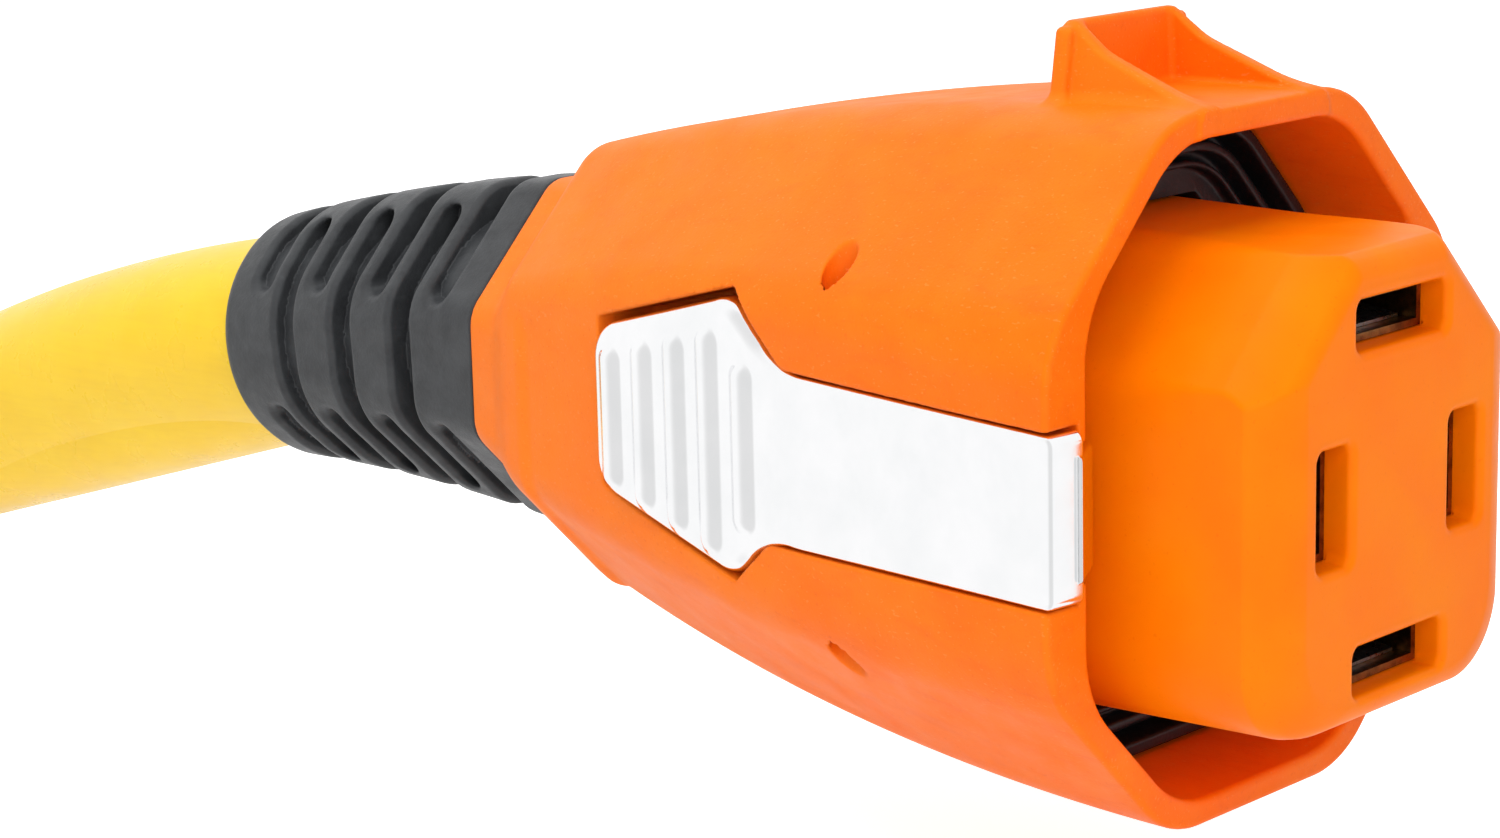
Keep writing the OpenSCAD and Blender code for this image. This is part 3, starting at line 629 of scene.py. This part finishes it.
def shell_plastic():
    """Matt glass-filled nylon: cloudy orange, dark specks, pale specks that are painted glints, a fine grain,
    and a painted sheen that pales it towards the rear.
    """
    f = Finish("shell_plastic", Specular_IOR_Level=0.16)
    cloud = f.remap(f.noise(16, 4, 0.6, warp=0.6), 0.3, 0.7)
    base = f.mix(cloud, srgb(255, 110, 0), srgb(255, 122, 12))
    streak = f.remap(f.noise(3.2, 5, 0.65, (3, 1, 1), 0.4), 0.52, 0.72)
    base = f.mix(f.remap(streak, 0, 1, 0, 0.3), base, srgb(236, 88, 8))
    # painted sheen: the colour is painted paler from the mouth back to the shoulder, standing in for the haze
    # of light on the rear of the shell
    rearward = f.remap(f.along("X"), SHOULDER_X, MOUTH_X, 0.35, 0)
    base = f.mix(rearward, base, srgb(255, 146, 52))
    speck = f.remap(f.noise(0.55, 2, 0.5), 0.63, 0.72)
    base = f.mix(f.remap(speck, 0, 1, 0, 0.22), base, srgb(226, 88, 16))
    # painted glints: tiny pale specks painted into the colour stand in for the sparkle of light off the glass
    # fill
    painted_glints = f.remap(f.noise(0.35, 1, 0.5, (2, 1, 1)), 0.66, 0.74)
    base = f.mix(f.remap(painted_glints, 0, 1, 0, 0.2), base, srgb(255, 172, 104))
    grain = f.bump(f.noise(0.38, 4, 0.6), 0.035)
    flow = f.bump(f.noise(9, 3, 0.5, (2, 1, 1)), 0.05, grain)
    rough = f.remap(f.noise(6, 4, 0.6), 0.3, 0.7, 0.42, 0.56)
    return f.set(Base_Color=base, Roughness=rough, Normal=flow)


def insert_plastic():
    """Smoother moulded plastic, deeper orange, with a faint satin grain."""
    f = Finish("insert_plastic", Specular_IOR_Level=0.1)
    cloud = f.remap(f.noise(11, 3, 0.5), 0.3, 0.7)
    base = f.mix(cloud, srgb(255, 120, 0), srgb(255, 130, 0))
    speck = f.remap(f.noise(0.5, 2), 0.66, 0.74)
    base = f.mix(f.remap(speck, 0, 1, 0, 0.22), base, srgb(232, 92, 8))
    fine = f.bump(f.noise(0.5, 3, 0.6), 0.02)
    rough = f.remap(f.noise(5, 3), 0.3, 0.7, 0.32, 0.42)
    return f.set(Base_Color=base, Roughness=rough, Normal=fine)


def latch_chrome():
    """Polished chrome on a casting: slight waves, hairline polish marks and a haze of grime."""
    f = Finish("latch_chrome", Metallic=1.0)
    haze = f.remap(f.noise(7, 5, 0.6), 0.35, 0.7)
    base = f.mix(haze, srgb(252, 252, 253), srgb(246, 247, 248))
    hair = f.noise(0.25, 3, 0.6, (30, 1, 6))
    normal = f.bump(f.noise(5, 2), 0.012, f.bump(hair, 0.0012))
    rough = f.remap(f.noise(3, 4, 0.65), 0.3, 0.75, 0.06, 0.13)
    return f.set(Base_Color=base, Roughness=rough, Normal=normal)


def rubber(name, dark, light, low, high):
    """Moulded black rubber: slightly mottled, dull, with fine pitting and scuffs."""
    f = Finish(name, Specular_IOR_Level=0.4)
    cloud = f.remap(f.noise(6, 5, 0.65, warp=0.4), 0.3, 0.7)
    base = f.mix(cloud, dark, light)
    scuff = f.remap(f.noise(1.6, 6, 0.7, (1, 4, 1)), 0.6, 0.8)
    base = f.mix(f.remap(scuff, 0, 1, 0, 0.3), base, srgb(84, 86, 88))
    pits = f.bump(f.noise(0.45, 4, 0.65), 0.05)
    swell = f.bump(f.noise(4, 3), 0.06, pits)
    rough = f.remap(f.noise(2.5, 4, 0.6), 0.3, 0.7, low, high)
    return f.set(Base_Color=base, Roughness=rough, Normal=swell)


def jacket_pvc():
    """Glossy yellow PVC with soft waves, fine drag lines along it and a little dirt."""
    f = Finish("jacket_pvc", Specular_IOR_Level=0.4, Coat_Weight=0.08, Coat_Roughness=0.18)
    cloud = f.remap(f.noise(14, 4, 0.55), 0.3, 0.7)
    base = f.mix(cloud, srgb(250, 204, 4), srgb(254, 212, 20))
    drag = f.remap(f.noise(0.8, 4, 0.6, (40, 1, 1)), 0.45, 0.75)
    base = f.mix(f.remap(drag, 0, 1, 0, 0.18), base, srgb(232, 180, 24))
    dirt = f.remap(f.noise(2.2, 6, 0.7), 0.64, 0.8)
    base = f.mix(f.remap(dirt, 0, 1, 0, 0.3), base, srgb(190, 150, 50))
    normal = f.bump(f.noise(1.3, 3, 0.5, (30, 1, 1)), 0.02, f.bump(f.noise(12, 2), 0.12))
    rough = f.remap(f.noise(6, 4), 0.3, 0.7, 0.24, 0.36)
    return f.set(Base_Color=base, Roughness=rough, Normal=normal)


def dull_plastic(name, dark, light, low=0.4, high=0.55):
    """Plain moulded plastic or insulation, slightly mottled and grained."""
    f = Finish(name, Specular_IOR_Level=0.45)
    base = f.mix(f.remap(f.noise(3, 4), 0.3, 0.7), dark, light)
    rough = f.remap(f.noise(2, 3), 0.3, 0.7, low, high)
    return f.set(Base_Color=base, Roughness=rough, Normal=f.bump(f.noise(0.5, 3), 0.03))


def metal(name, dark, light, low, high, grain=(1, 1, 12), bump_depth=0.006):
    """Worked metal: tarnish in patches and fine lines left by the tool."""
    f = Finish(name, Metallic=1.0)
    base = f.mix(f.remap(f.noise(2.5, 6, 0.7), 0.35, 0.7), dark, light)
    rough = f.remap(f.noise(1.5, 5, 0.65), 0.3, 0.75, low, high)
    return f.set(Base_Color=base, Roughness=rough, Normal=f.bump(f.noise(0.3, 3, 0.5, grain), bump_depth))


def filler_fibre():
    """Twisted paper and fibre filler, seen only at the cut end."""
    f = Finish("filler", Specular_IOR_Level=0.2)
    base = f.mix(f.remap(f.noise(0.6, 5, 0.7), 0.3, 0.7), srgb(148, 118, 84), srgb(206, 184, 150))
    return f.set(Base_Color=base, Roughness=0.9, Normal=f.bump(f.noise(0.4, 5, 0.7), 0.2))


FINISHES = {
    "shell_plastic": shell_plastic(),
    "insert_plastic": insert_plastic(),
    "latch_chrome": latch_chrome(),
    "boot_rubber": rubber("boot_rubber", srgb(42, 43, 45), srgb(62, 64, 66), 0.34, 0.5),
    "seal_rubber": rubber("seal_rubber", srgb(16, 16, 18), srgb(30, 30, 33), 0.3, 0.46),
    "jacket_pvc": jacket_pvc(),
    "carrier_plastic": dull_plastic("carrier_plastic", srgb(60, 62, 66), srgb(82, 84, 88)),
    "clamp_plastic": dull_plastic("clamp_plastic", srgb(104, 110, 116), srgb(126, 132, 138)),
    "filler": filler_fibre(),
    "insulation_black": dull_plastic("insulation_black", srgb(22, 22, 24), srgb(36, 36, 38), 0.3, 0.42),
    "insulation_red": dull_plastic("insulation_red", srgb(150, 22, 20), srgb(182, 34, 30), 0.3, 0.42),
    "insulation_white": dull_plastic("insulation_white", srgb(212, 210, 204), srgb(236, 234, 228), 0.3, 0.42),
    "insulation_green": dull_plastic("insulation_green", srgb(22, 96, 48), srgb(34, 122, 62), 0.3, 0.42),
    "copper": metal("copper", srgb(150, 76, 46), srgb(216, 128, 88), 0.24, 0.42),
    "contact_brass": metal("contact_brass", srgb(92, 66, 36), srgb(168, 128, 72), 0.26, 0.46),
    "spring_steel": metal("spring_steel", srgb(130, 132, 136), srgb(178, 180, 184), 0.22, 0.38),
    "screw_steel": metal("screw_steel", srgb(142, 144, 148), srgb(190, 192, 196), 0.2, 0.36),
    "pin_steel": metal("pin_steel", srgb(126, 128, 132), srgb(172, 174, 178), 0.22, 0.4),
}


def dress(piece, slot_name):
    piece.data.materials.clear()
    piece.data.materials.append(FINISHES[slot_name])
    return piece


# ---------------------------------------------------------------- the pieces
def moulded(name, node, body, slot_name, field, step, mirror=False, margin=1.5):
    """Builds a piece from its distance field in the box of the node that it stands for."""
    low, high = node_box(node)
    piece = mesh_field(name, field, low - margin, high + margin, step, mirror)
    dress(piece, slot_name)
    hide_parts(node)
    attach(piece, body)
    return piece


moulded("shell_moulding", "shell", "housing", "shell_plastic", shell_field, 0.42, mirror=True)
moulded("insert_moulding", "contact_insert", "housing", "insert_plastic", insert_field, 0.36, mirror=True)
moulded("boot_moulding", "boot", "housing", "boot_rubber", boot_field, 0.36, mirror=True)
moulded("seal_moulding", "face_seal", "housing", "seal_rubber", seal_field, 0.36, mirror=True)
moulded("latch_left_casting", "latch_left", "latch_left", "latch_chrome", latch_field, 0.24)
moulded("latch_right_casting", "latch_right", "latch_right", "latch_chrome", mirrored(latch_field), 0.24)
jacket = dress(cable_jacket(), "jacket_pvc")
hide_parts("cable_jacket")
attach(jacket, "housing")

for hand, side in (("left", 1), ("right", -1)):
    coil = dress(latch_spring(f"latch_spring_{hand}_coil", side), "spring_steel")
    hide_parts(f"latch_spring_{hand}")
    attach(coil, "housing")
    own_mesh(coil)

SLOT_OF = {
    "gland_seal": "seal_rubber", "contact_carrier": "carrier_plastic", "cable_filler": "filler",
    "conductor_line1": "insulation_black", "conductor_line2": "insulation_red",
    "conductor_neutral": "insulation_white", "conductor_ground": "insulation_green",
    "copper_cores": "copper", "contact_springs": "spring_steel", "terminal_screws": "screw_steel",
    "insert_screws": "screw_steel", "carrier_screws": "screw_steel", "clamp_screws": "screw_steel",
    "clamp_upper": "clamp_plastic", "clamp_lower": "clamp_plastic",
    "latch_pin_left": "pin_steel", "latch_pin_right": "pin_steel",
}
for line_name in ("line1", "line2", "neutral", "ground"):
    SLOT_OF[f"contact_{line_name}"] = "contact_brass"
for node_name, slot_name in SLOT_OF.items():
    dress(frame["nodes"][node_name], slot_name)


# ---------------------------------------------------------------- floor, light and camera
FLOOR_DROP = 2.0                  # floor below the lowest point of the cord
FLOOR_GLOW = 0.68                 # lift that keeps the floor as pale as the backdrop
GREY_TOWARDS = (0.3, -0.93, -0.1)
GREY_CARD = 0.78
MATT_SHARE = 0.36                 # of the surroundings' light that reaches matt surfaces


def floor():
    """Pale flat floor a little below the lowest point of the cord."""
    low = (cad_box[0][2] / MM - FLOOR_DROP) * MM
    bm = bmesh.new()
    bmesh.ops.create_grid(bm, x_segments=2, y_segments=2, size=12)
    mesh = bpy.data.meshes.new("floor")
    bm.to_mesh(mesh)
    bm.free()
    obj = bpy.data.objects.new("floor", mesh)
    obj.location.z = low
    bpy.context.scene.collection.objects.link(obj)
    f = Finish("floor_paint", Specular_IOR_Level=0.0)
    tone = f.mix(f.remap(f.noise(160, 3), 0.3, 0.7), (0.93, 0.93, 0.93, 1), (0.96, 0.96, 0.96, 1))
    path = f.tree.nodes.new("ShaderNodeLightPath")
    glow = f.remap(path.outputs["Is Diffuse Ray"], 0, 1, FLOOR_GLOW, 0)
    obj.data.materials.append(f.set(Base_Color=tone, Roughness=0.9, Emission_Color=(1, 1, 1, 1),
                                    Emission_Strength=glow))
    obj.visible_glossy = False


def world():
    """White surroundings, greyer towards the front so that polished faces show their form.
    Only a share of it lights matt surfaces, which leaves the modelling to the softboxes."""
    w = bpy.data.worlds.new("studio")
    bpy.context.scene.world = w
    w.use_nodes = True
    tree = w.node_tree
    background = tree.nodes["Background"]
    flat = tree.nodes.new("ShaderNodeVectorMath")
    flat.operation = "MULTIPLY"
    tree.links.new(tree.nodes.new("ShaderNodeTexCoord").outputs["Generated"], flat.inputs[0])
    flat.inputs[1].default_value = (1, 1, 0.35)          # draws the grey card out upwards
    unit = tree.nodes.new("ShaderNodeVectorMath")
    unit.operation = "NORMALIZE"
    tree.links.new(flat.outputs["Vector"], unit.inputs[0])
    facing = tree.nodes.new("ShaderNodeVectorMath")
    facing.operation = "DOT_PRODUCT"
    tree.links.new(unit.outputs["Vector"], facing.inputs[0])
    facing.inputs[1].default_value = Vector(GREY_TOWARDS).normalized()
    card = tree.nodes.new("ShaderNodeMapRange")
    card.interpolation_type = "SMOOTHSTEP"
    tree.links.new(facing.outputs["Value"], card.inputs["Value"])
    for name, value in zip(("From Min", "From Max", "To Min", "To Max"), (0.35, 0.95, 1.0, GREY_CARD)):
        card.inputs[name].default_value = value
    path = tree.nodes.new("ShaderNodeLightPath")
    seen = tree.nodes.new("ShaderNodeMix")
    tree.links.new(path.outputs["Is Camera Ray"], seen.inputs["Factor"])
    tree.links.new(card.outputs["Result"], seen.inputs["A"])
    seen.inputs["B"].default_value = 1.0
    share = tree.nodes.new("ShaderNodeMapRange")
    tree.links.new(path.outputs["Is Diffuse Ray"], share.inputs["Value"])
    share.inputs["To Min"].default_value = 1.0
    share.inputs["To Max"].default_value = MATT_SHARE
    strength = tree.nodes.new("ShaderNodeMath")
    strength.operation = "MULTIPLY"
    tree.links.new(seen.outputs["Result"], strength.inputs[0])
    tree.links.new(share.outputs["Result"], strength.inputs[1])
    tree.links.new(strength.outputs["Value"], background.inputs["Strength"])
    background.inputs["Color"].default_value = (1, 1, 1, 1)


def softbox(name, place, target, size, power):
    light = bpy.data.lights.new(name, "AREA")
    light.shape = "RECTANGLE"
    light.size, light.size_y = size
    light.energy = power
    obj = bpy.data.objects.new(name, light)
    obj.location = place
    obj.rotation_mode = "QUATERNION"
    obj.rotation_quaternion = (Vector(target) - Vector(place)).to_track_quat("-Z", "Y")
    obj.visible_glossy = False
    bpy.context.scene.collection.objects.link(obj)


CAMERA_YAW, CAMERA_PITCH, CAMERA_ROLL = (math.radians(a) for a in (46.5, 12.47, -1.46))
CAMERA_AT = Vector((0.20071, -0.31192, 0.08997))
LENS = 84.77


def camera():
    ahead = Vector((-math.cos(CAMERA_YAW) * math.cos(CAMERA_PITCH),
                    math.sin(CAMERA_YAW) * math.cos(CAMERA_PITCH), -math.sin(CAMERA_PITCH)))
    right = Vector((math.sin(CAMERA_YAW), math.cos(CAMERA_YAW), 0))
    up = right.cross(ahead)
    turned = math.cos(CAMERA_ROLL) * right + math.sin(CAMERA_ROLL) * up
    up = math.cos(CAMERA_ROLL) * up - math.sin(CAMERA_ROLL) * right
    data = bpy.data.cameras.new("camera")
    data.lens = LENS
    data.clip_start = 0.01
    obj = bpy.data.objects.new("camera", data)
    bpy.context.scene.collection.objects.link(obj)
    obj.matrix_world = Matrix.Translation(CAMERA_AT) @ Matrix((turned, up, -ahead)).transposed().to_4x4()
    bpy.context.scene.camera = obj


floor()
world()
softbox("top", (-0.1, -0.25, 0.75), (-0.06, 0, 0), (0.7, 0.7), 4.8)
softbox("front", (0.55, -0.5, 0.35), (-0.05, 0, 0), (0.5, 0.6), 2.9)
softbox("rear", (-0.6, 0.3, 0.5), (-0.1, 0, 0), (0.6, 0.4), 1.2)
camera()
bpy.context.scene.view_settings.view_transform = "Standard"
